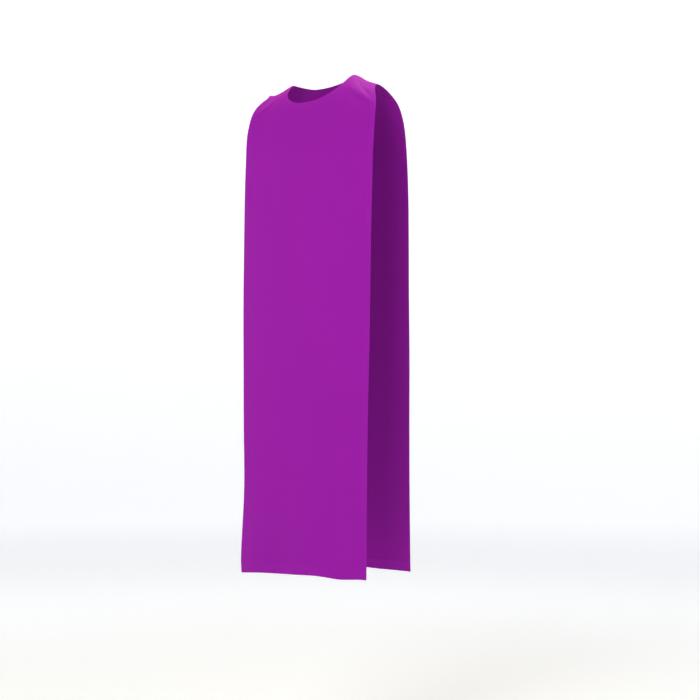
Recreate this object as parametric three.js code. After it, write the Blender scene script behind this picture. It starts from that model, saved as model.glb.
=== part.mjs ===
// A scapular: one long, narrow panel of cloth in front and one behind, sewn together on the two
// shoulders beside a round neck opening, in the shape that they take over a full gown.
// Millimetres. +Z is up, the front faces -Y, and the wearer's left is +X. The origin lies midway between
// the two shoulder seams, level with the places where they meet the neck edge.

import * as THREE from "three";

// A table with named columns, from plain rows.
function table(columns, rows) {
  return rows.map((row) => Object.fromEntries(columns.map((name, i) => [name, row[i]])));
}

// Driving dimensions.
const CLOTH = 2; // thickness of the wall
const SEAM_GAP = 0.3; // between the two panels along each shoulder seam
const CUT_LENGTH = 1200; // seam to hem along the cloth, at the neck
const LENGTH = 1187; // shoulder to the lowest place on the hem as worn, straight down
const SHOULDER_HALF = 152; // from the middle to the outer end of a shoulder seam
const NECK_HALF = { right: 84, left: 88.5 }; // from the middle to where a seam meets the neck edge
const HALF_WIDTH = 178; // half of a panel's width
const NECK_POWER = { right: 0.8, left: 1.09 }; // below 1, the neck edge is pulled out towards a square

// The grid of each half of a panel: rows fan out from the neck edge, then run straight across.
const FAN_ROWS = 16;
const LONG_ROWS = 34;
const COLUMNS = 15;
const FAN_EDGE = 100; // how far down the side edge the lowest fanned row ends
const FIRST_LONG_STEP = 0.25; // spacing of the first long row, as a share of the average

const SETBACK_POWER = 2.6; // how late the cloth turns back towards its side edges
const SEAM_REST = 30; // folds have died away this near a shoulder seam
const HEM_REST = 1000; // how far down the cloth its uneven hem starts to show

// The line of the seams, from the wearer's right to the left: how far each place on it lies below the
// origin. It climbs towards the neck. Between the seams, over the open neck, it only guides the shape.
const SHOULDER_LINE = table(["across", "drop"], [
  [-SHOULDER_HALF, 25.5],
  [-138, 26.5],
  [-116, 20],
  [-NECK_HALF.right, 7],
  [-40, 5],
  [40, -5],
  [NECK_HALF.left, -3.5],
  [118, 12],
  [SHOULDER_HALF, 25],
]);

// Sections of a panel: the distance along the cloth from the seam, how far its edges lie to the wearer's
// right and left, how far out from the seam and below it the middle and the side edges lie, and how much
// is left of the shoulder line's own rise and fall.
const SECTION_COLUMNS =
  ["along", "right", "left", "middleOut", "edgeOut", "middleFall", "edgeFall", "shoulder"];
const FRONT_SECTIONS = table(SECTION_COLUMNS, [
  [0, 156, 152, 0, 0, 0, 0, 1],
  [12, 151, 153, 11.5, 10.5, 3, 3, 1],
  [25, 150, 156, 23, 21.5, 11, 11, 1],
  [40, 159, 162, 35, 31, 24, 22, 0.97],
  [56, 169, 169, 45.5, 40, 39, 37, 0.92],
  [75, 175, 174, 55, 48, 57, 55, 0.84],
  [100, 178, 177, 64, 56, 82, 80, 0.72],
  [140, 180.5, 179, 75, 64, 122, 120, 0.54],
  [200, 180, 179, 85.5, 70, 182, 181, 0.32],
  [300, 180.5, 179, 95, 75, 283, 283, 0.1],
  [400, 180, 178, 100, 78, 384, 384, 0],
  [550, 178, 178, 104, 82, 535, 535, 0],
  [700, 174.5, 177, 107, 86, 685, 685, 0],
  [850, 171, 176, 110, 90, 835, 835, 0],
  [1000, 167.5, 176, 112, 93, 984, 985, 0],
  [1165, 175.5, 176, 113.6, 94.7, 1148.2, 1150, 0],
  [CUT_LENGTH, 173.5, 176, 114, 95, LENGTH - 4, LENGTH - 2, 0],
]);
const BACK_SECTIONS = table(SECTION_COLUMNS, [
  [0, 156, 152, 0, 0, 0, 0, 1],
  [12, 155.5, 152, 12, 12, 1, 1, 1],
  [25, 156, 154, 24.5, 24.5, 6, 5, 1],
  [40, 159, 158, 38, 37, 15, 13, 0.97],
  [56, 165, 164, 51, 49, 27, 26, 0.92],
  [75, 170, 170, 64, 60, 43, 42, 0.84],
  [100, 175, 174, 78, 71, 65, 65, 0.72],
  [140, 178, 177, 93, 82, 102, 104, 0.54],
  [200, 179, 178, 106, 91, 161, 164, 0.32],
  [300, 178, 179, 115, 98, 262, 265, 0.1],
  [400, 178, 179, 119, 101, 364, 367, 0],
  [550, 178, 178, 121, 104, 516, 519, 0],
  [700, 177, 178, 122, 106, 668, 671, 0],
  [850, 177, 176, 123, 108, 821, 824, 0],
  [1000, 177, 175, 124, 110, 975, 978, 0],
  [CUT_LENGTH, 178, 176, 125, 112, LENGTH - 4, LENGTH - 2, 0],
]);

// The hem isn't quite even: how much lower each place on it hangs, from the right to the left.
const FRONT_HEM = table(["across", "drop"], [
  [-HALF_WIDTH, 2.4],
  [-116, -0.5],
  [-36, -1.6],
  [40, -3],
  [72, -1.2],
  [110, 2.2],
  [160, -0.7],
  [HALF_WIDTH, -0.5],
]);
const BACK_HEM = table(["across", "drop"], [
  [-HALF_WIDTH, -0.5],
  [-90, 1.6],
  [10, -1.2],
  [96, 1.4],
  [HALF_WIDTH, 0],
]);

// Soft folds, each a ridge, or a trough where its height is negative, that swells and dies away between
// two places on the cloth, or runs on into the hem. Across is measured to the wearer's left.
const FOLD_COLUMNS = ["across", "along", "toAcross", "toAlong", "width", "height"];
const FRONT_FOLDS = table(FOLD_COLUMNS, [
  [118, 18, 178, 78, 6, -2.2],
  [102, 24, 174, 82, 8, 2.8],
  [84, 58, 178, 100, 14, -1.6],
  [-90, 30, -176, 84, 9, 2],
  [-94, 44, -170, 108, 11, -1.6],
  [-94, 120, -90, 430, 36, -2.4],
  [30, 110, 52, 620, 44, 1.6],
  [-68, 820, -62, CUT_LENGTH, 40, -4],
  [24, 640, 16, CUT_LENGTH, 34, 2.6],
  [104, 880, 102, CUT_LENGTH, 28, -3],
]);
const BACK_FOLDS = table(FOLD_COLUMNS, [
  [90, 8, 174, 76, 9, 1.8],
  [92, 26, 160, 108, 10, -1.4],
  [-88, 6, -176, 68, 8, 2],
  [-92, 20, -162, 98, 9, -1.4],
  [60, 110, 46, 560, 42, -2.2],
  [-52, 520, -46, CUT_LENGTH, 38, 3.4],
  [30, 640, 22, CUT_LENGTH, 34, -3],
  [108, 720, 112, CUT_LENGTH, 32, 3],
  [-122, 860, -118, CUT_LENGTH, 26, -2.6],
]);

// Each panel: the side of the seams that it hangs on, how deep its neck edge is cut, and its shape.
const PANELS = [
  {
    name: "front_panel",
    side: -1,
    neckDepth: 78,
    sections: FRONT_SECTIONS,
    hem: FRONT_HEM,
    folds: FRONT_FOLDS,
  },
  {
    name: "back_panel",
    side: 1,
    neckDepth: 36,
    sections: BACK_SECTIONS,
    hem: BACK_HEM,
    folds: BACK_FOLDS,
  },
];

const mix = (from, to, share) => from + (to - from) * share;
const ease = (share) => share * share * (3 - 2 * share);
const clamp01 = (value) => Math.min(1, Math.max(0, value));

// A column of a table at any place along its key, on a smooth curve through the rows.
function read(table, key, column, place, firstSlope) {
  const slope = (i) => {
    if (i === 0 && firstSlope !== undefined) return firstSlope;
    const before = table[Math.max(i - 1, 0)];
    const after = table[Math.min(i + 1, table.length - 1)];
    return (after[column] - before[column]) / (after[key] - before[key]);
  };
  let i = 0;
  while (i < table.length - 2 && place > table[i + 1][key]) i++;
  const [low, high] = [table[i], table[i + 1]];
  const span = high[key] - low[key];
  const t = (place - low[key]) / span;
  const bend = t * (1 - t) * span * (slope(i) * (1 - t) - slope(i + 1) * t);
  return mix(low[column], high[column], ease(t)) + bend;
}

// The cloth without its folds. Share is 0 in the middle of the panel, 1 on its left edge and -1 on its
// right one. Both panels leave the seam level, so that they meet in one smooth curve.
function smoothPoint(panel, share, along) {
  const at = (column) => {
    const firstSlope = column.endsWith("Out") ? undefined : 0;
    return read(panel.sections, "along", column, along, firstSlope);
  };
  const setback = Math.abs(share) ** SETBACK_POWER;
  const out = mix(at("middleOut"), at("edgeOut"), setback);
  const fall = mix(at("middleFall"), at("edgeFall"), setback);
  const line = read(SHOULDER_LINE, "across", "drop", share * SHOULDER_HALF) * at("shoulder");
  const uneven = ease(clamp01((along - HEM_REST) / (CUT_LENGTH - HEM_REST)));
  const hem = read(panel.hem, "across", "drop", share * HALF_WIDTH) * uneven;
  return new THREE.Vector3(share * at(share > 0 ? "left" : "right"), panel.side * out, -fall - line - hem);
}

// The way that the cloth faces, away from the wearer, from two steps along a surface.
function facing(panel, surface, share, along) {
  const [shareStep, alongStep] = [0.004, 0.5];
  const across = surface(panel, share + shareStep, along).sub(surface(panel, share - shareStep, along));
  const down = surface(panel, share, along + alongStep).sub(
    surface(panel, share, Math.max(along - alongStep, 0)),
  );
  return across.cross(down).multiplyScalar(panel.side).normalize();
}

// How far the folds lift the cloth at a place.
function lift(panel, share, along) {
  const place = new THREE.Vector2(share * HALF_WIDTH, along);
  const rest = ease(clamp01(along / SEAM_REST));
  const total = panel.folds.reduce((sum, fold) => {
    const start = new THREE.Vector2(fold.across, fold.along);
    const line = new THREE.Vector2(fold.toAcross, fold.toAlong).sub(start);
    const away = place.clone().sub(start);
    const t = away.dot(line) / line.lengthSq();
    const off = away.cross(line) / line.length() / fold.width;
    const fade = fold.toAlong >= CUT_LENGTH ? ease(clamp01(t)) : Math.sin(Math.PI * clamp01(t)) ** 2;
    return sum + fold.height * fade * Math.exp(-off * off);
  }, 0);
  return rest * total;
}

// The middle of the cloth's thickness, folds and all.
function clothPoint(panel, share, along) {
  const normal = facing(panel, smoothPoint, share, along);
  return smoothPoint(panel, share, along).addScaledVector(normal, lift(panel, share, along));
}

// Where a row of the grid starts, on the neck edge or on the middle line, and where it ends on the side.
function rowEnds(panel, hand, row) {
  if (row <= FAN_ROWS) {
    const turn = ((row / FAN_ROWS) * Math.PI) / 2;
    const name = hand > 0 ? "left" : "right";
    const power = NECK_POWER[name];
    return {
      inner: {
        share: (NECK_HALF[name] / SHOULDER_HALF) * Math.cos(turn) ** power,
        along: panel.neckDepth * Math.sin(turn) ** power,
      },
      outer: { share: 1, along: (FAN_EDGE * row) / FAN_ROWS },
    };
  }
  const v = (row - FAN_ROWS) / LONG_ROWS;
  const down = FIRST_LONG_STEP * v + (1 - FIRST_LONG_STEP) * v * v;
  return {
    inner: { share: 0, along: mix(panel.neckDepth, CUT_LENGTH, down) },
    outer: { share: 1, along: mix(FAN_EDGE, CUT_LENGTH, down) },
  };
}

// A panel as a closed wall: an outer and an inner skin on the same grid, and a rim round every edge.
function panelGeometry(panel) {
  const outer = [];
  const inner = [];
  const names = new Map();
  const point = (hand, row, column) => {
    const shared = column === 0 && row >= FAN_ROWS;
    const name = `${shared ? 0 : hand},${row},${column}`;
    if (names.has(name)) return names.get(name);
    const ends = rowEnds(panel, hand, row);
    const share = hand * mix(ends.inner.share, ends.outer.share, column / COLUMNS);
    const along = mix(ends.inner.along, ends.outer.along, column / COLUMNS);
    const middle = clothPoint(panel, share, along);
    middle.y += (panel.side * SEAM_GAP) / 2;
    const normal = facing(panel, clothPoint, share, along);
    outer.push(middle.clone().addScaledVector(normal, CLOTH / 2));
    inner.push(middle.clone().addScaledVector(normal, -CLOTH / 2));
    names.set(name, outer.length - 1);
    return outer.length - 1;
  };

  const faces = [];
  for (const hand of [-1, 1]) {
    for (let row = 0; row < FAN_ROWS + LONG_ROWS; row++) {
      for (let column = 0; column < COLUMNS; column++) {
        const [a, b] = [point(hand, row, column), point(hand, row, column + 1)];
        const [d, c] = [point(hand, row + 1, column), point(hand, row + 1, column + 1)];
        const outward = hand * panel.side > 0;
        faces.push(...(outward ? [[a, b, c], [a, c, d]] : [[a, c, b], [a, d, c]]));
      }
    }
  }

  const count = outer.length;
  const triangles = faces.flatMap(([a, b, c]) => [a, b, c, a + count, c + count, b + count]);
  const edges = new Set(faces.flatMap(([a, b, c]) => [`${a},${b}`, `${b},${c}`, `${c},${a}`]));
  for (const edge of edges) {
    const [a, b] = edge.split(",").map(Number);
    if (!edges.has(`${b},${a}`)) triangles.push(b, a, a + count, b, a + count, b + count);
  }
  const positions = [...outer, ...inner].flatMap((p) => [p.x, p.y, p.z]);
  const geometry = new THREE.BufferGeometry();
  geometry.setAttribute("position", new THREE.Float32BufferAttribute(positions, 3));
  geometry.setIndex(triangles);
  geometry.computeVertexNormals();
  return geometry;
}

const cloth = new THREE.MeshStandardMaterial({ color: 0x9a22a4, roughness: 0.85, metalness: 0 });

const scapular = new THREE.Group();
for (const panel of PANELS) {
  const mesh = new THREE.Mesh(panelGeometry(panel), cloth.clone());
  mesh.name = panel.name;
  scapular.add(mesh);
}

export default scapular;
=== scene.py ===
"""A purple scapular, dressed in its cloth: two long hanging panels, their turned hems and stitching, the
shoulder seams, and a plain pale studio.

The add-on's panel lists the sizes and colours. Lengths in the tables are millimetres; the scene is in
metres, +Z is up, the front faces -Y and the wearer's left is +X.
"""

import math

import bmesh
import bpy
from mathutils import Matrix, Vector


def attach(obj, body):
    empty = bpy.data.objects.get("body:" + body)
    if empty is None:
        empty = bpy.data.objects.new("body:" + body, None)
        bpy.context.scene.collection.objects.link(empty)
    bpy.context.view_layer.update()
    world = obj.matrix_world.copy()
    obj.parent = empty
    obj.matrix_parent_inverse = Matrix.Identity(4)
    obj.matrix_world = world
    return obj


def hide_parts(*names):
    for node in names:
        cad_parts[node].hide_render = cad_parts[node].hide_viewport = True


bl_info = {
    "name": "Purple scapular",
    "version": (1, 0, 0),
    "blender": (4, 5, 0),
    "location": "View3D > Sidebar > Scapular",
    "description": "Dresses a worn scapular in its cloth, hems and stitching",
    "category": "Object",
}

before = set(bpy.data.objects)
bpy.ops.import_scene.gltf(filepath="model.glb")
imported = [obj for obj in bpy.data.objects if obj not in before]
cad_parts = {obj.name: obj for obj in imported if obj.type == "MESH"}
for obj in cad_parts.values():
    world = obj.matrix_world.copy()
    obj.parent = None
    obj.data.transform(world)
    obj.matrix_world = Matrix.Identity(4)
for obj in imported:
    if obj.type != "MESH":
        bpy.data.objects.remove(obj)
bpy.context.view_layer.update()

MM = 0.001
SAME_PLACE = 0.00001  # vertices nearer to each other than this are one
NAME = "Scapular"

# The cut, in millimetres, as in the solids.
CUT_LENGTH = 1200.0
LENGTH = 1187.0
SHOULDER_HALF = 152.0
HALF_WIDTH = 178.0
NECK_HALF = {1: 88.5, -1: 84.0}  # on the wearer's left and right
NECK_POWER = {1: 1.09, -1: 0.8}
SETBACK_POWER = 2.6
SEAM_REST = 30.0  # the folds come in over this length below the shoulder seams
HEM_REST = 1000.0  # the wave of the lower edge comes in from here
FOLD_REACH = 3.2  # how far to each side a fold is felt, in widths of the fold
SEAM_OVERLAP = 0.1  # each panel reaches this far over the middle of a shoulder seam
FAN_EDGE = 100.0

# Grid of each half of a panel.
FAN_ROWS = 36
LONG_ROWS = 160
SEAM_STEPS = (0.004, 0.009, 0.016, 0.026)  # first rows beside a shoulder seam, as shares of the fan
FIRST_LONG_STEP = 0.5  # how steeply the long rows start, where 1 makes them even
SHORTEST_ROW = 40.0
ROW_SLANT = 0.3  # how much of a row's slant counts in its length
COLUMNS = 40
SIDE_STEPS = (0.4, 1.2, 3.0, 6.5, 9.4, 10.4, 11.4, 12.6, 15.0, 20.0)  # columns near a side edge
NECK_STEPS = (0.4, 1.2, 3.0, 4.6, 5.6, 6.6, 7.6, 10.0)  # columns near the neck edge
FOOT_STEPS = (0.4, 1.2, 3.0, 9.0, 16.0, 21.0, 23.0, 24.4, 25.6, 29.0)  # rows above the lower edge

# Sewing: the widths of the turned hems, and how far inside their edge the stitches are.
SIDE_HEM = 12.0
NECK_HEM = 7.0
FOOT_HEM = 25.0
SEAM_ALLOWANCE = 10.0
SEAM_GROOVE = 1.1  # how far from a shoulder seam the cloth dips into it
STITCH_INSET = 1.6
PRESS_START = 0.95  # where the step from a turned hem to the plain cloth starts, as a share of the hem
PRESS_WIDTH = 0.1  # width of that step, as a share of the hem
PULL_REACH = 1.3  # how far from the stitches they pull the cloth in
ALLOWANCE_STEP = 1.5  # width of the step at the end of a seam allowance
HEM_OUTSIDE = 0.3  # share of a hem's extra thickness that shows outside; the rest is inside
RIM_ANGLE = 1.0  # an edge that turns by more than this, in radians, is an edge of the cloth
EDGE_ROUNDING = 0.32  # rounding of the cloth's edges, as a share of its thickness
STITCH_REACH = 0.41  # half the length of a stitch, as a share of the distance from stitch to stitch
THREAD_PROUD = 0.15  # how far the middle of a stitch stands out of the cloth, in threads

# Relief in the materials, in metres.
CLOTH_RELIEF = 0.0003
THREAD_RELIEF = 0.0001
PLY_PITCH = 0.0005

# How finely the lines along the cloth are followed.
NECK_LINE_STEPS = 40
NECK_STITCH_STEPS = 60
SIDE_STITCH_STEPS = 300
FOOT_STITCH_STEPS = 160
SIDE_STITCH_START = 2.0  # how far below the shoulder seam the side stitching starts
AREA_ROWS = 240
AREA_NECK_STEPS = 90

LINE_COLUMNS = ("across", "drop")
SHOULDER_LINE = (
    (-SHOULDER_HALF, 25.5),
    (-138, 26.5),
    (-116, 20),
    (-NECK_HALF[-1], 7),
    (-40, 5),
    (40, -5),
    (NECK_HALF[1], -3.5),
    (118, 12),
    (SHOULDER_HALF, 25),
)
SECTION_COLUMNS = (
    "along",
    "right",
    "left",
    "middle_out",
    "edge_out",
    "middle_fall",
    "edge_fall",
    "shoulder",
)
FRONT_SECTIONS = (
    (0, 156, 152, 0, 0, 0, 0, 1),
    (12, 151, 153, 11.5, 10.5, 3, 3, 1),
    (25, 150, 156, 23, 21.5, 11, 11, 1),
    (40, 159, 162, 35, 31, 24, 22, 0.97),
    (56, 169, 169, 45.5, 40, 39, 37, 0.92),
    (75, 175, 174, 55, 48, 57, 55, 0.84),
    (100, 178, 177, 64, 56, 82, 80, 0.72),
    (140, 180.5, 179, 75, 64, 122, 120, 0.54),
    (200, 180, 179, 85.5, 70, 182, 181, 0.32),
    (300, 180.5, 179, 95, 75, 283, 283, 0.1),
    (400, 180, 178, 100, 78, 384, 384, 0),
    (550, 178, 178, 104, 82, 535, 535, 0),
    (700, 174.5, 177, 107, 86, 685, 685, 0),
    (850, 171, 176, 110, 90, 835, 835, 0),
    (1000, 167.5, 176, 112, 93, 984, 985, 0),
    (1165, 175.5, 176, 113.6, 94.7, 1148.2, 1150, 0),
    (CUT_LENGTH, 173.5, 176, 114, 95, LENGTH - 4, LENGTH - 2, 0),
)
BACK_SECTIONS = (
    (0, 156, 152, 0, 0, 0, 0, 1),
    (12, 155.5, 152, 12, 12, 1, 1, 1),
    (25, 156, 154, 24.5, 24.5, 6, 5, 1),
    (40, 159, 158, 38, 37, 15, 13, 0.97),
    (56, 165, 164, 51, 49, 27, 26, 0.92),
    (75, 170, 170, 64, 60, 43, 42, 0.84),
    (100, 175, 174, 78, 71, 65, 65, 0.72),
    (140, 178, 177, 93, 82, 102, 104, 0.54),
    (200, 179, 178, 106, 91, 161, 164, 0.32),
    (300, 178, 179, 115, 98, 262, 265, 0.1),
    (400, 178, 179, 119, 101, 364, 367, 0),
    (550, 178, 178, 121, 104, 516, 519, 0),
    (700, 177, 178, 122, 106, 668, 671, 0),
    (850, 177, 176, 123, 108, 821, 824, 0),
    (1000, 177, 175, 124, 110, 975, 978, 0),
    (CUT_LENGTH, 178, 176, 125, 112, LENGTH - 4, LENGTH - 2, 0),
)
FRONT_HEM = (
    (-HALF_WIDTH, 2.4),
    (-116, -0.5),
    (-36, -1.6),
    (40, -3),
    (72, -1.2),
    (110, 2.2),
    (160, -0.7),
    (HALF_WIDTH, -0.5),
)
BACK_HEM = (
    (-HALF_WIDTH, -0.5),
    (-90, 1.6),
    (10, -1.2),
    (96, 1.4),
    (HALF_WIDTH, 0),
)

# Soft folds and creases: from one place on the cloth to another, the width, and the height, which is
# negative for a trough. The large ones are in the solids too, where two on a shoulder are sharper.
FOLD_COLUMNS = ("across", "along", "to_across", "to_along", "width", "height")
FRONT_FOLDS = (
    (118, 18, 178, 78, 7, -1.3),
    (102, 24, 174, 82, 9.5, 2.2),
    (84, 58, 178, 100, 14, -1.6),
    (-90, 30, -176, 84, 9, 2.0),
    (-94, 44, -170, 108, 11, -1.6),
    (-94, 120, -90, 430, 36, -2.4),
    (30, 110, 52, 620, 44, 1.6),
    (-68, 820, -62, CUT_LENGTH, 40, -4.0),
    (24, 640, 16, CUT_LENGTH, 34, 2.6),
    (104, 880, 102, CUT_LENGTH, 28, -3.0),
)
FRONT_CREASES = (
    (74, 49, 186, 76, 11, 1.2),
    (-78, 52, -182, 74, 10, 1.0),
    (112, 24, 182, 28, 3.5, -0.7),
    (92, 40, 150, 74, 5, 0.9),
    (-96, 24, -176, 34, 4, -0.6),
    (-92, 58, -150, 92, 6, 0.8),
    (-50, 84, -8, 150, 9, -0.5),
    (62, 74, 96, 132, 9, 0.5),
    (-128, 96, -124, 230, 16, -0.8),
    (140, 130, 138, 420, 20, -0.6),
    (-20, 360, -34, 760, 26, -0.8),
    (120, 470, 104, 820, 22, 0.7),
    (-140, 520, -146, 900, 16, 0.8),
    (107, 930, 104, 1090, 14, -0.7),
    (-142, 1060, -146, CUT_LENGTH, 14, 1.4),
    (150, 1010, 156, CUT_LENGTH, 12, 1.0),
    (-187, 40, -187, 620, 13, -2.6),
    (187, 70, 187, 1130, 13, -2.6),
)
BACK_FOLDS = (
    (90, 8, 174, 76, 9, 1.8),
    (92, 26, 160, 108, 10, -1.4),
    (-88, 6, -176, 68, 8, 2.0),
    (-92, 20, -162, 98, 9, -1.4),
    (60, 110, 46, 560, 42, -2.2),
    (-52, 520, -46, CUT_LENGTH, 38, 3.4),
    (30, 640, 22, CUT_LENGTH, 34, -3.0),
    (108, 720, 112, CUT_LENGTH, 32, 3.0),
    (-122, 860, -118, CUT_LENGTH, 26, -2.6),
)
BACK_CREASES = (
    (108, 22, 180, 30, 4, -0.7),
    (-110, 20, -180, 26, 4, -0.7),
    (86, 44, 150, 92, 7, 0.8),
    (-84, 40, -148, 84, 6, 0.9),
    (-30, 46, 6, 128, 12, -0.6),
    (132, 120, 128, 360, 18, -0.8),
    (-140, 150, -146, 460, 20, 0.8),
    (-96, 420, -84, 800, 24, -0.8),
    (150, 560, 146, 930, 16, 0.8),
    (-148, 980, -152, CUT_LENGTH, 14, 1.2),
    (64, 940, 70, CUT_LENGTH, 16, -0.9),
    (-187, 60, -187, 900, 13, -2.4),
    (187, 60, 187, 1000, 13, -2.4),
)


# The studio, in metres. The lamps' places are seen from the camera, which looks along +Y, and their
# spread is the angle, in degrees, that each of them shines into.
FLOOR_RADIUS = 6.5
COVE_RADIUS = 2.0
COVE_STEP = 6  # degrees
BACKDROP_HEIGHT = 4.2
SPIN_STEPS = 96
GLOW_START = 0.7  # the paper's own painted glow comes in from here outward, in metres from the middle
GLOW_FULL = 3.6
LAMP_COLUMNS = ("name", "kind", "share", "place", "aim_height", "size", "spread", "colour")
WHITE = (1.0, 1.0, 1.0)
WARM = (1.0, 0.94, 0.74)
LAMPS = (
    ("front_softbox", "front", 1.0, (-1.6, -3.4, 2.0), -0.15, 2.0, 70, WHITE),
    ("right_softbox", "side", 2.0, (3.4, -2.6, 0.6), -0.6, 2.4, 180, WHITE),
    ("left_softbox", "side", 1.2, (-4.0, -0.4, 0.4), -0.6, 2.4, 180, WHITE),
    ("top_softbox", "top", 1.0, (0.5, 0.5, 2.2), -0.1, 0.8, 120, WARM),
)


def rows(columns, table):
    """A table of plain rows as a list of rows with named columns."""
    return [dict(zip(columns, row)) for row in table]


PANELS = {
    "front": {
        "node": "front_panel",
        "slot": "purple_cloth_front",
        "side": -1,
        "yarn_start": 3.0,
        "neck_depth": 78.0,
        "sections": rows(SECTION_COLUMNS, FRONT_SECTIONS),
        "hem": rows(LINE_COLUMNS, FRONT_HEM),
        "folds": rows(FOLD_COLUMNS, FRONT_FOLDS + FRONT_CREASES),
    },
    "back": {
        "node": "back_panel",
        "slot": "purple_cloth_back",
        "side": 1,
        "yarn_start": 8.0,
        "neck_depth": 36.0,
        "sections": rows(SECTION_COLUMNS, BACK_SECTIONS),
        "hem": rows(LINE_COLUMNS, BACK_HEM),
        "folds": rows(FOLD_COLUMNS, BACK_FOLDS + BACK_CREASES),
    },
}
LINE = rows(LINE_COLUMNS, SHOULDER_LINE)


def mix(start, end, share):
    return start + (end - start) * share


def clamp(value):
    return min(1.0, max(0.0, value))


def ease(share):
    share = clamp(share)
    return share * share * (3.0 - 2.0 * share)


def read(table, key, column, place, first_slope=None):
    """A column of a table at any place along its key, on a smooth curve through the rows."""

    def slope(i):
        if i == 0 and first_slope is not None:
            return first_slope
        before = table[max(i - 1, 0)]
        after = table[min(i + 1, len(table) - 1)]
        return (after[column] - before[column]) / (after[key] - before[key])

    i = 0
    while i < len(table) - 2 and place > table[i + 1][key]:
        i += 1
    low, high = table[i], table[i + 1]
    span = high[key] - low[key]
    t = (place - low[key]) / span
    bend = t * (1 - t) * span * (slope(i) * (1 - t) - slope(i + 1) * t)
    return mix(low[column], high[column], t * t * (3 - 2 * t)) + bend


def neck_edge(panel, hand, turn):
    """A place on the neck edge, as (share of the half width, distance along), by its turn from the seam."""
    power = NECK_POWER[hand]
    share = NECK_HALF[hand] / SHOULDER_HALF * max(math.cos(turn), 0.0) ** power
    return share, panel["neck_depth"] * math.sin(turn) ** power


def smooth_point(panel, share, along):
    """The cloth without its folds, in millimetres."""
    table = panel["sections"]

    def at(column):
        return read(table, "along", column, along, None if column.endswith("out") else 0.0)

    setback = abs(share) ** SETBACK_POWER
    out = mix(at("middle_out"), at("edge_out"), setback)
    fall = mix(at("middle_fall"), at("edge_fall"), setback)
    line = read(LINE, "across", "drop", share * SHOULDER_HALF) * at("shoulder")
    hem = read(panel["hem"], "across", "drop", share * HALF_WIDTH)
    hem *= ease((along - HEM_REST) / (CUT_LENGTH - HEM_REST))
    return Vector((share * at("left" if share > 0 else "right"), panel["side"] * out, -fall - line - hem))


def facing(panel, surface, share, along):
    """The way that the cloth faces, away from the wearer, from two short steps on it."""
    aside, below = 0.004, 0.5
    across = surface(panel, share + aside, along) - surface(panel, share - aside, along)
    down = surface(panel, share, along + below) - surface(panel, share, max(along - below, 0.0))
    return (across.cross(down) * panel["side"]).normalized()


def fold_lift(panel, share, along):
    """How far the folds and creases lift the cloth at a place."""
    place = Vector((share * HALF_WIDTH, along))
    total = 0.0
    for fold in panel["folds"]:
        start = Vector((fold["across"], fold["along"]))
        line = Vector((fold["to_across"], fold["to_along"])) - start
        away = place - start
        off = (away.x * line.y - away.y * line.x) / line.length / fold["width"]
        if abs(off) > FOLD_REACH:
            continue
        t = clamp(away.dot(line) / line.length_squared)
        fade = ease(t) if fold["to_along"] >= CUT_LENGTH else math.sin(math.pi * t) ** 2
        total += fold["height"] * fade * math.exp(-off * off)
    return total * ease(along / SEAM_REST)


def cloth_point(panel, share, along):
    """The middle of the cloth's thickness, folds and all, in millimetres."""
    normal = facing(panel, smooth_point, share, along)
    point = smooth_point(panel, share, along) + normal * fold_lift(panel, share, along)
    point.y -= panel["side"] * SEAM_OVERLAP
    return point


# Nodes of a material, written as expressions.


class Socket:
    """A node's output, with the arithmetic of Math nodes."""

    def __init__(self, graph, output):
        self.graph = graph
        self.output = output

    def _math(self, operation, first, second=None):
        values = {0: first} if second is None else {0: first, 1: second}
        return self.graph.node("ShaderNodeMath", {"operation": operation}, values)

    def __add__(self, other):
        return self._math("ADD", self, other)

    __radd__ = __add__

    def __sub__(self, other):
        return self._math("SUBTRACT", self, other)

    def __rsub__(self, other):
        return self._math("SUBTRACT", other, self)

    def __mul__(self, other):
        return self._math("MULTIPLY", self, other)

    __rmul__ = __mul__

    def sine(self):
        return self._math("SINE", self)

    def absolute(self):
        return self._math("ABSOLUTE", self)

    def smooth(self, low, high):
        """0 below low, 1 above high, and a smooth step between them."""
        settings = {"interpolation_type": "SMOOTHSTEP"}
        values = {"Value": self, "From Min": low, "From Max": high}
        return self.graph.node("ShaderNodeMapRange", settings, values)


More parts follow.
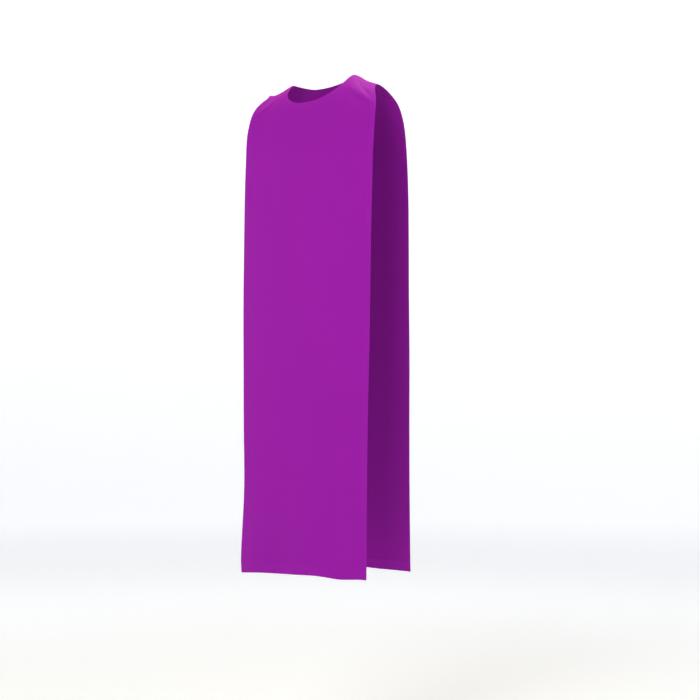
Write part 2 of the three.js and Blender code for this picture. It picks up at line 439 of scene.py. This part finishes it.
class Graph:
    """A new material and its nodes."""

    def __init__(self, name):
        self.material = bpy.data.materials.new(name)
        self.material.use_nodes = True
        self.tree = self.material.node_tree
        self.tree.nodes.clear()

    def node(self, kind, settings=None, values=None, output=0):
        """Any node, from its type, its settings and the values or links of its sockets."""
        node = self.tree.nodes.new(kind)
        for name, value in (settings or {}).items():
            setattr(node, name, value)
        for name, value in (values or {}).items():
            socket = node.inputs[name]
            if isinstance(value, Socket):
                self.tree.links.new(value.output, socket)
            else:
                socket.default_value = value
        return Socket(self, node.outputs[output])

    def part(self, socket, output):
        """Another output of the node that a socket belongs to."""
        return Socket(self, socket.output.node.outputs[output])

    def stretched(self, vector, scale, location=(0.0, 0.0, 0.0)):
        """A pattern's place, stretched and moved."""
        values = {"Vector": vector, "Scale": scale, "Location": location}
        return self.node("ShaderNodeMapping", None, values)

    def noise(self, vector, scale, detail, roughness=0.5):
        """A soft cloudy pattern."""
        values = {"Vector": vector, "Scale": scale, "Detail": detail, "Roughness": roughness}
        return self.node("ShaderNodeTexNoise", None, values)

    def mix_colour(self, share, first, second):
        settings = {"data_type": "RGBA"}
        return self.node("ShaderNodeMix", settings, {0: share, 6: first, 7: second}, output=2)

    def surface(self, **values):
        """The Principled surface, from its inputs with underscores for spaces, and the output."""
        inputs = {name.replace("_", " "): value for name, value in values.items()}
        shader = self.node("ShaderNodeBsdfPrincipled", None, inputs)
        self.node_output(shader)
        return self.material

    def node_output(self, shader):
        node = self.tree.nodes.new("ShaderNodeOutputMaterial")
        self.tree.links.new(shader.output, node.inputs["Surface"])


def cloth_material(name, look, start):
    """Smooth matte purple cloth: a fine twill, a little unevenness in the yarn, and a soft sheen. Start is
    where in the patterns of yarn and dye the piece was cut."""
    graph = Graph(name)
    place = graph.node("ShaderNodeUVMap", {"uv_map": "cut"})
    axes = graph.node("ShaderNodeSeparateXYZ", None, {0: place})
    across = axes
    along = graph.part(axes, 1)
    pitch = look.weave_pitch

    # Warp and weft of a fine twill, stepped one thread to the side in each row.
    warp = (across * (math.tau / pitch)).sine()
    twill = ((across + along) * (math.tau / (3.0 * pitch))).sine()
    weave = warp * 0.35 + twill * 0.65

    # Slubs: yarns that run a little thick or pale, long along the warp and short across it.
    yarn = graph.stretched(place, (900.0, 24.0, 1.0), (start, 0.0, 0.0))
    slub = graph.noise(yarn, 1.0, 2.0)

    # The dye drifts a little over the width of a hand, and wear leaves a fine crush.
    wide = graph.stretched(place, (1.0, 1.0, 1.0), (start, start, 0.0))
    cloud = graph.noise(wide, 7.0, 3.0, 0.45)
    crush = graph.noise(wide, 55.0, 4.0, 0.6)

    # The hems are painted paler, a painted sheen of the pressed cloth, and the stitches pucker them a
    # little.
    hem = graph.node("ShaderNodeAttribute", {"attribute_name": "hem_place"}, None, output=2)
    painted_hem_sheen = 1.0 - hem.smooth(0.9, 1.1)
    ripple = graph.noise(graph.stretched(place, (40.0, 210.0, 1.0)), 1.0, 2.0)
    pucker = (ripple - 0.5) * (1.0 - (hem - 0.9).absolute().smooth(0.0, 0.8))

    # The hem band's share of the tone is painted sheen: it makes the hems paler.
    tone = (cloud - 0.5) * look.tone_variation + (slub - 0.5) * 0.3 + weave * 0.22 + painted_hem_sheen * 0.12
    deep = (*look.deep_colour, 1.0)
    pale = (*look.pale_colour, 1.0)
    colour = graph.mix_colour(tone + 0.5, deep, pale)
    height = weave * 0.35 + (slub - 0.5) * 0.7 + (crush - 0.5) * 1.4 + pucker * 3.0
    relief = {"Height": height, "Strength": look.bump, "Distance": CLOTH_RELIEF}
    bump = graph.node("ShaderNodeBump", None, relief)
    roughness = (slub - 0.5) * 0.10 + (cloud - 0.5) * 0.08 + look.roughness
    return graph.surface(
        Base_Color=colour,
        Roughness=roughness,
        Normal=bump,
        Specular_IOR_Level=0.12,
        Sheen_Weight=look.sheen,
        Sheen_Roughness=0.42,
        Sheen_Tint=(1.0, 0.32, 0.36, 1.0),
    )


def thread_material(name, look):
    """Matching sewing thread, a shade deeper, with the twist of its plies."""
    graph = Graph(name)
    place = graph.node("ShaderNodeTexCoord", None, None, output=3)
    axes = graph.node("ShaderNodeSeparateXYZ", None, {0: place})
    up = graph.part(axes, 2)
    twist = ((axes + up) * (math.tau / PLY_PITCH)).sine()
    deep = (*look.deep_colour, 1.0)
    pale = (*look.pale_colour, 1.0)
    colour = graph.mix_colour(twist * 0.12 + 0.4, deep, pale)
    relief = {"Height": twist, "Strength": 0.3, "Distance": THREAD_RELIEF}
    bump = graph.node("ShaderNodeBump", None, relief)
    return graph.surface(Base_Color=colour, Roughness=0.55, Normal=bump, Specular_IOR_Level=0.4)


def paper_material(stage):
    """The matte paper of the studio. It glows itself, a painted light that comes in over the floor from
    GLOW_START, is full from GLOW_FULL outward, and carries on up the backdrop.
    """
    graph = Graph("studio_paper")
    grain = graph.node("ShaderNodeTexNoise", None, {"Scale": 3.0, "Detail": 2.0})
    shade = graph.mix_colour(grain, (0.868, 0.888, 0.932, 1.0), (0.888, 0.908, 0.952, 1.0))
    place = graph.node("ShaderNodeTexCoord", None, None, output=3)
    away = graph.node("ShaderNodeVectorMath", {"operation": "LENGTH"}, {0: place}, output=1)
    # The paper glows itself: painted light, none near the garment and full far out.
    paper_painted_glow = graph.mix_colour(away.smooth(GLOW_START, GLOW_FULL), (0.0, 0.0, 0.0, 1.0), (1.0, 1.0, 1.0, 1.0))
    return graph.surface(
        Base_Color=shade,
        Roughness=0.9,
        Specular_IOR_Level=0.1,
        Emission_Color=paper_painted_glow,
        Emission_Strength=stage.painted_backdrop_glow,
    )


# Meshes.


def finish_piece(mesh, name, material):
    """A mesh being built, as a smooth object at the origin."""
    data = bpy.data.meshes.new(name)
    mesh.to_mesh(data)
    mesh.free()
    data.materials.append(material)
    for polygon in data.polygons:
        polygon.use_smooth = True
    piece = bpy.data.objects.new(name, data)
    bpy.context.scene.collection.objects.link(piece)
    return piece


def row_shares(length, from_neck):
    """Where the columns of the grid cross a row, from its inner end at 0 to its outer end at 1. They
    crowd together at the edges of the cloth, where the hems are."""
    first = [0.0]
    if from_neck:
        first += [distance / length for distance in NECK_STEPS]
    last = [1.0 - distance / length for distance in reversed(SIDE_STEPS)] + [1.0]
    between = COLUMNS + 1 - len(first) - len(last)
    start, stop = first[-1], last[0]
    return first + [mix(start, stop, (i + 1) / (between + 1)) for i in range(between)] + last


def fan_share(row):
    """How far round the fan a row lies, from the seam at 0. The first rows crowd beside the seam."""
    crowded = (0.0,) + SEAM_STEPS
    if row < len(crowded):
        return crowded[row]
    plain = FAN_ROWS - len(SEAM_STEPS)
    return mix(crowded[-1], 1.0, (row - len(SEAM_STEPS)) / plain)


def row_ends(panel, hand, row):
    """The inner and outer ends of a row of the grid, each as (share, along)."""
    if row <= FAN_ROWS:
        part = fan_share(row)
        return neck_edge(panel, hand, part * math.pi / 2), (1.0, FAN_EDGE * part)
    plain = LONG_ROWS - len(FOOT_STEPS)
    step = row - FAN_ROWS
    if step <= plain:
        v = step / plain
        down = FIRST_LONG_STEP * v + (1 - FIRST_LONG_STEP) * v * v
        reach = CUT_LENGTH - FOOT_STEPS[-1]
    else:
        down = 1.0
        reach = CUT_LENGTH - ((0.0,) + FOOT_STEPS)[LONG_ROWS - step]
    return (0.0, mix(panel["neck_depth"], reach, down)), (1.0, mix(FAN_EDGE, reach, down))


def panel_grid(panel, hand):
    """Half a panel as a grid, and the place of each of its vertices on the cut cloth."""
    mesh = bmesh.new()
    rows_down = FAN_ROWS + LONG_ROWS
    bmesh.ops.create_grid(mesh, x_segments=COLUMNS, y_segments=rows_down, size=1.0)
    lines = []
    for row in range(rows_down + 1):
        inner, outer = row_ends(panel, hand, row)
        length = math.hypot((outer[0] - inner[0]) * HALF_WIDTH, (outer[1] - inner[1]) * ROW_SLANT)
        shares = row_shares(max(length, SHORTEST_ROW), row < FAN_ROWS)
        lines.append([(hand * mix(inner[0], outer[0], t), mix(inner[1], outer[1], t)) for t in shares])
    places = {}
    for vertex in mesh.verts:
        column = round((vertex.co.x + 1) / 2 * COLUMNS)
        row = round((1 - vertex.co.y) / 2 * rows_down)
        places[vertex] = lines[row][column]
    return mesh, places


def neck_line(panel, hand, steps):
    """Half of the neck edge on the cut cloth, as points in millimetres, from the seam to the middle."""
    ends = [neck_edge(panel, hand, i / steps * math.pi / 2) for i in range(steps + 1)]
    return [Vector((share * HALF_WIDTH, along)) for share, along in ends]


def hem_place(share, along, line):
    """How far into the hem a place is: 0 on an edge of the cloth, 1 where the turned cloth ends."""
    place = Vector((abs(share) * HALF_WIDTH, along))
    neck = min((place - point).length for point in line) / NECK_HEM
    side = (1 - abs(share)) * HALF_WIDTH / SIDE_HEM
    foot = (CUT_LENGTH - along) / FOOT_HEM
    return min(neck, side, foot)


def swelling(hem, along, look):
    """How much the turned cloth stands out on the outer side and on the inner side, in metres. The
    stitches pull it in, and the seam allowances lie open inside the shoulders."""
    turned = 1 - ease((hem - PRESS_START) / PRESS_WIDTH)
    pulled = math.exp(-(((hem - 1) * SIDE_HEM + STITCH_INSET) / PULL_REACH) ** 2)
    allowance = 1 - ease((along - SEAM_ALLOWANCE) / ALLOWANCE_STEP)
    groove = math.exp(-((along / SEAM_GROOVE) ** 2))
    outer = look.hem_lift * HEM_OUTSIDE * turned - look.stitch_pull * pulled - look.seam_dip * groove
    inner = look.hem_lift * (1 - HEM_OUTSIDE) * max(turned, allowance)
    return outer, inner


def cut_sheet(panel):
    """A panel as one sheet without thickness, its outer side out. Every vertex knows its place on the
    cut cloth, which is its UV too, and how far into a hem it lies."""
    sheet = bmesh.new()
    cut = sheet.loops.layers.uv.new("cut")
    where = sheet.verts.layers.float_vector.new("place_on_cut")
    hems = sheet.verts.layers.float.new("hem_place")
    for hand in (-1, 1):
        line = neck_line(panel, hand, NECK_LINE_STEPS)
        half, places = panel_grid(panel, hand)
        copies = {}
        for vertex, (share, along) in places.items():
            copy = sheet.verts.new(cloth_point(panel, share, along) * MM)
            copy[where] = (share * HALF_WIDTH * MM, along * MM, 0.0)
            copy[hems] = hem_place(share, along, line)
            copies[vertex] = copy
        for face in half.faces:
            sheet.faces.new([copies[vertex] for vertex in face.verts])
        half.free()
    bmesh.ops.remove_doubles(sheet, verts=sheet.verts, dist=SAME_PLACE)
    bmesh.ops.recalc_face_normals(sheet, faces=sheet.faces)
    faced = sum(face.normal.y * face.calc_area() for face in sheet.faces)
    if faced * panel["side"] < 0:
        bmesh.ops.reverse_faces(sheet, faces=sheet.faces)
    for face in sheet.faces:
        for loop in face.loops:
            loop[cut].uv = loop.vert[where].xy
    return sheet, where, hems


def thicken(sheet, where, hems, look):
    """Gives the sheet its thickness, inward from its outer face, with swollen hems and rounded edges."""
    sheet.normal_update()
    for vertex in sheet.verts:
        outer, _ = swelling(vertex[hems], vertex[where].y / MM, look)
        vertex.co += vertex.normal * (look.thickness / 2 + outer)
    sheet.normal_update()
    made = bmesh.ops.solidify(sheet, geom=sheet.faces[:], thickness=look.thickness)
    inside = [item for item in made["geom"] if isinstance(item, bmesh.types.BMVert)]
    sheet.normal_update()
    for vertex in inside:
        _, inner = swelling(vertex[hems], vertex[where].y / MM, look)
        vertex.co += vertex.normal * inner
    rim = [edge for edge in sheet.edges if edge.calc_face_angle(0.0) > RIM_ANGLE]
    offset = look.thickness * EDGE_ROUNDING
    bmesh.ops.bevel(
        sheet, geom=rim, offset=offset, segments=2, profile=0.5, affect="EDGES", material=-1
    )
    bmesh.ops.recalc_face_normals(sheet, faces=sheet.faces)


def make_panel(context, key):
    """One panel as a closed thin sheet with turned hems, on the same form as its solid."""
    look = context.scene.scapular_cloth
    panel = PANELS[key]
    sheet, where, hems = cut_sheet(panel)
    thicken(sheet, where, hems, look)
    material = cloth_material(f"purple_cloth_{key}", look, panel["yarn_start"])
    piece = finish_piece(sheet, f"{key}_cloth", material)
    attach(piece, "root")
    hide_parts(panel["node"])
    return piece


def stitch_run(mesh, places, look):
    """Stitches along a run of points on the cloth, each (point, normal), one after another."""
    travelled = 0.0
    due = look.stitch_pitch / 2
    for (start, normal), (end, _) in zip(places, places[1:]):
        step = end - start
        length = step.length
        while due <= travelled + length and length > 0:
            middle = start + step * ((due - travelled) / length)
            add_stitch(mesh, middle, step.normalized(), normal, look)
            due += look.stitch_pitch
        travelled += length


def add_stitch(mesh, middle, direction, normal, look):
    """One stitch: a small rounded bar that sinks into the cloth at both ends."""
    side = normal.cross(direction).normalized()
    turn = Matrix((direction, side, direction.cross(side))).transposed().to_4x4()
    size = (look.stitch_pitch * STITCH_REACH, look.thread / 2, look.thread / 2)
    placed = Matrix.Translation(middle) @ turn @ Matrix.Diagonal((*size, 1.0))
    bmesh.ops.create_icosphere(mesh, subdivisions=1, radius=1.0, matrix=placed)


def surface_place(panel, share, along, lift):
    """A point some metres out from the middle of the cloth, and the way that it faces."""
    normal = facing(panel, cloth_point, share, along)
    return (cloth_point(panel, share, along) + normal * lift / MM) * MM, normal


def inside_neck(panel, hand, inset):
    """A line on the cut cloth that runs along the neck edge, some millimetres inside it."""
    line = neck_line(panel, hand, NECK_STITCH_STEPS)
    inner = []
    for before, place, after in zip(line, line[1:], line[2:]):
        run = (after - before).normalized()
        inner.append(place + Vector((-run.y, run.x)) * -inset if run.x < 0 else place)
    return [(hand * place.x / HALF_WIDTH, place.y) for place in inner]


def make_stitching(context, key):
    """The rows of stitching that hold the hems of a panel."""
    look = context.scene.scapular_cloth
    panel = PANELS[key]
    side = 1 - (SIDE_HEM - STITCH_INSET) / HALF_WIDTH
    foot = CUT_LENGTH - FOOT_HEM + STITCH_INSET
    steps = FOOT_STITCH_STEPS
    runs = [[(mix(-side, side, i / steps), foot) for i in range(steps + 1)]]
    steps = SIDE_STITCH_STEPS
    for hand in (-1, 1):
        runs.append([(hand * side, mix(SIDE_STITCH_START, foot, i / steps)) for i in range(steps + 1)])
        runs.append(inside_neck(panel, hand, NECK_HEM - STITCH_INSET))
    outside = look.thickness / 2 + look.hem_lift * HEM_OUTSIDE - look.stitch_pull
    lift = outside + look.thread * THREAD_PROUD
    mesh = bmesh.new()
    for run in runs:
        stitch_run(mesh, [surface_place(panel, share, along, lift) for share, along in run], look)
    piece = finish_piece(mesh, f"{key}_hem_stitching", thread_material(f"purple_thread_{key}", look))
    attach(piece, "root")
    return piece


def make_stage(context):
    """A round pale floor that curves up into a backdrop, soft lamps and the camera."""
    stage = context.scene.scapular_stage
    mesh = bmesh.new()
    profile = [(0.0, 0.0), (FLOOR_RADIUS, 0.0)]
    for angle in range(COVE_STEP, 91, COVE_STEP):
        turn = math.radians(angle)
        rise = COVE_RADIUS * (1 - math.cos(turn))
        profile.append((FLOOR_RADIUS + COVE_RADIUS * math.sin(turn), rise))
    profile.append((FLOOR_RADIUS + COVE_RADIUS, BACKDROP_HEIGHT))
    line = [mesh.verts.new((out, 0.0, rise + stage.floor_height)) for out, rise in profile]
    edges = [mesh.edges.new(pair) for pair in zip(line, line[1:])]
    bmesh.ops.spin(
        mesh,
        geom=line + edges,
        axis=(0, 0, 1),
        cent=(0, 0, 0),
        angle=math.tau,
        steps=SPIN_STEPS,
        use_merge=True,
    )
    bmesh.ops.remove_doubles(mesh, verts=mesh.verts, dist=10 * SAME_PLACE)
    bmesh.ops.recalc_face_normals(mesh, faces=mesh.faces)
    floor = finish_piece(mesh, "studio_floor", paper_material(stage))

    powers = {"front": stage.front_light, "side": stage.side_light, "top": stage.top_light}
    turn = Matrix.Rotation(math.radians(stage.azimuth), 3, "Z")
    for lamp in rows(LAMP_COLUMNS, LAMPS):
        add_lamp(lamp, powers[lamp["kind"]] * lamp["share"], turn)
    world = bpy.data.worlds.new("studio_light")
    world.use_nodes = True
    background = world.node_tree.nodes["Background"]
    background.inputs["Color"].default_value = (1.0, 1.0, 1.0, 1.0)
    background.inputs["Strength"].default_value = stage.world_light
    context.scene.world = world

    camera_data = bpy.data.cameras.new("camera")
    camera_data.lens = stage.lens
    camera = bpy.data.objects.new("camera", camera_data)
    camera.location = turn @ Vector((stage.aside, -stage.distance, stage.camera_height))
    camera.rotation_euler = (math.radians(90 + stage.tilt), 0.0, math.radians(stage.azimuth))
    context.scene.collection.objects.link(camera)
    context.scene.camera = camera
    context.scene.view_settings.view_transform = "Standard"


def add_lamp(lamp, power, turn):
    """A large soft lamp that faces the garment, turned about it with the camera."""
    data = bpy.data.lights.new(lamp["name"], "AREA")
    data.shape = "SQUARE"
    data.size = lamp["size"]
    data.spread = math.radians(lamp["spread"])
    data.energy = power
    data.color = lamp["colour"]
    item = bpy.data.objects.new(lamp["name"], data)
    item.location = turn @ Vector(lamp["place"])
    aim = turn @ Vector((0.0, 0.0, lamp["aim_height"])) - item.location
    item.rotation_euler = aim.to_track_quat("-Z", "Y").to_euler()
    bpy.context.scene.collection.objects.link(item)


class ScapularCloth(bpy.types.PropertyGroup):
    """Sizes and colours of the cloth and its sewing."""

    deep_colour: bpy.props.FloatVectorProperty(
        name="Deep colour",
        description="Cloth colour where the yarn is darkest",
        default=(0.275, 0.0045, 0.312),
        size=3,
        min=0.0,
        max=1.0,
        subtype="COLOR",
    )
    pale_colour: bpy.props.FloatVectorProperty(
        name="Pale colour",
        description="Cloth colour where the yarn is palest",
        default=(0.323, 0.0074, 0.370),
        size=3,
        min=0.0,
        max=1.0,
        subtype="COLOR",
    )
    tone_variation: bpy.props.FloatProperty(
        name="Tone variation",
        description="How much the tone drifts over the cloth",
        default=0.5,
        min=0.0,
        max=2.0,
    )
    roughness: bpy.props.FloatProperty(
        name="Roughness", description="Average roughness of the cloth", default=0.72, min=0.0, max=1.0
    )
    sheen: bpy.props.FloatProperty(
        name="Sheen",
        description="Soft gloss of the fibres at a grazing angle",
        default=0.08,
        min=0.0,
        max=1.0,
    )
    bump: bpy.props.FloatProperty(
        name="Weave relief",
        description="Strength of the weave in the surface",
        default=0.6,
        min=0.0,
        max=1.0,
    )
    weave_pitch: bpy.props.FloatProperty(
        name="Thread pitch",
        description="Distance between threads",
        default=0.0004,
        min=0.0001,
        unit="LENGTH",
    )
    thickness: bpy.props.FloatProperty(
        name="Thickness",
        description="Thickness of the cloth",
        default=0.0009,
        min=0.0002,
        unit="LENGTH",
    )
    hem_lift: bpy.props.FloatProperty(
        name="Hem thickness",
        description="Extra thickness of a turned hem",
        default=0.0009,
        unit="LENGTH",
    )
    stitch_pull: bpy.props.FloatProperty(
        name="Stitch pull",
        description="How deep the stitches draw the hem in",
        default=0.00032,
        unit="LENGTH",
    )
    seam_dip: bpy.props.FloatProperty(
        name="Seam dip",
        description="Depth of the groove along a shoulder seam",
        default=0.0004,
        unit="LENGTH",
    )
    stitch_pitch: bpy.props.FloatProperty(
        name="Stitch pitch",
        description="Distance from stitch to stitch",
        default=0.0031,
        min=0.001,
        unit="LENGTH",
    )
    thread: bpy.props.FloatProperty(
        name="Thread",
        description="Diameter of the sewing thread",
        default=0.00055,
        min=0.0001,
        unit="LENGTH",
    )


class ScapularStage(bpy.types.PropertyGroup):
    """The studio around the garment."""

    floor_height: bpy.props.FloatProperty(
        name="Floor height",
        description="Height of the floor, with the wearer's shoulders at 0",
        default=-1.62,
        unit="LENGTH",
    )
    azimuth: bpy.props.FloatProperty(
        name="Azimuth",
        description="Camera angle from straight ahead, in degrees, towards the wearer's left",
        default=31.42,
    )
    distance: bpy.props.FloatProperty(
        name="Distance", description="Camera to garment", default=4.0232, min=0.5, unit="LENGTH"
    )
    aside: bpy.props.FloatProperty(
        name="Aside",
        description="How far the camera stands to its right of the line to the garment",
        default=0.0634,
        unit="LENGTH",
    )
    camera_height: bpy.props.FloatProperty(
        name="Camera height",
        description="Camera height, with the shoulders at 0",
        default=-0.7154,
        unit="LENGTH",
    )
    tilt: bpy.props.FloatProperty(
        name="Tilt",
        description="Upward tilt of the camera, in degrees",
        default=0.9,
    )
    lens: bpy.props.FloatProperty(
        name="Lens", description="Focal length, in millimetres", default=85.94, min=10.0
    )
    front_light: bpy.props.FloatProperty(
        name="Front light",
        description="Power of the front lamp, in watts",
        default=12.6,
    )
    side_light: bpy.props.FloatProperty(
        name="Side light",
        description="Power of the side lamps, in watts",
        default=19.0,
    )
    top_light: bpy.props.FloatProperty(
        name="Top light",
        description="Power of the lamp overhead, in watts",
        default=35.5,
    )
    world_light: bpy.props.FloatProperty(
        name="Ambient light",
        description="Strength of the light all round",
        default=0.07,
    )
    # The strength of the paper's own glow: painted light, with no lamp behind the backdrop.
    painted_backdrop_glow: bpy.props.FloatProperty(
        name="Backdrop light", description="Strength of the light behind the backdrop", default=0.52
    )


class SCAPULAR_OT_panels(bpy.types.Operator):
    """Make the front and back panels with their turned hems and shoulder seams"""

    bl_idname = "scapular.panels"
    bl_label = "Panels"

    def execute(self, context):
        for key in PANELS:
            make_panel(context, key)
        return {"FINISHED"}


class SCAPULAR_OT_stitching(bpy.types.Operator):
    """Sew the hems of the panels, and work out the area that each panel was cut to, which is not kept"""

    bl_idname = "scapular.stitching"
    bl_label = "Hem stitching"

    def execute(self, context):
        for key, panel in PANELS.items():
            sewing = make_stitching(context, key)
            cut_area(panel)
        return {"FINISHED"}


def cut_area(panel):
    """Area of a panel's cut in square metres: its width all the way down, less the neck opening."""
    length = CUT_LENGTH / AREA_ROWS
    table = panel["sections"]
    total = 0.0
    for i in range(AREA_ROWS):
        along = (i + 0.5) * length
        total += length * sum(read(table, "along", hand, along, 0.0) for hand in ("left", "right"))
    for hand in (-1, 1):
        line = neck_line(panel, hand, AREA_NECK_STEPS)
        for upper, lower in zip(line, line[1:]):
            total -= (upper.x + lower.x) / 2 * (lower.y - upper.y)
    return total * MM * MM


class SCAPULAR_OT_stage(bpy.types.Operator):
    """Make the floor, the backdrop, the lamps and the camera"""

    bl_idname = "scapular.stage"
    bl_label = "Studio"

    def execute(self, context):
        make_stage(context)
        return {"FINISHED"}


class SCAPULAR_PT_panel(bpy.types.Panel):
    """Sizes and colours of the scapular, and the buttons that make it"""

    bl_idname = "SCAPULAR_PT_panel"
    bl_label = NAME
    bl_space_type = "VIEW_3D"
    bl_region_type = "UI"
    bl_category = NAME

    def draw(self, context):
        groups = (context.scene.scapular_cloth, context.scene.scapular_stage)
        for group in groups:
            box = self.layout.box()
            for name in group.__annotations__:
                box.prop(group, name)
        self.layout.operator(SCAPULAR_OT_panels.bl_idname)
        self.layout.operator(SCAPULAR_OT_stitching.bl_idname)
        self.layout.operator(SCAPULAR_OT_stage.bl_idname)


CLASSES = (
    ScapularCloth,
    ScapularStage,
    SCAPULAR_OT_panels,
    SCAPULAR_OT_stitching,
    SCAPULAR_OT_stage,
    SCAPULAR_PT_panel,
)


def register():
    for item in CLASSES:
        bpy.utils.register_class(item)
    bpy.types.Scene.scapular_cloth = bpy.props.PointerProperty(type=ScapularCloth)
    bpy.types.Scene.scapular_stage = bpy.props.PointerProperty(type=ScapularStage)


def unregister():
    del bpy.types.Scene.scapular_stage
    del bpy.types.Scene.scapular_cloth
    for item in reversed(CLASSES):
        bpy.utils.unregister_class(item)


def plain(box):
    return [[float(value) for value in corner] for corner in box]


def main():
    register()
    bpy.ops.scapular.stage()
    bpy.ops.scapular.panels()
    bpy.ops.scapular.stitching()


if __name__ == "__main__":
    main()
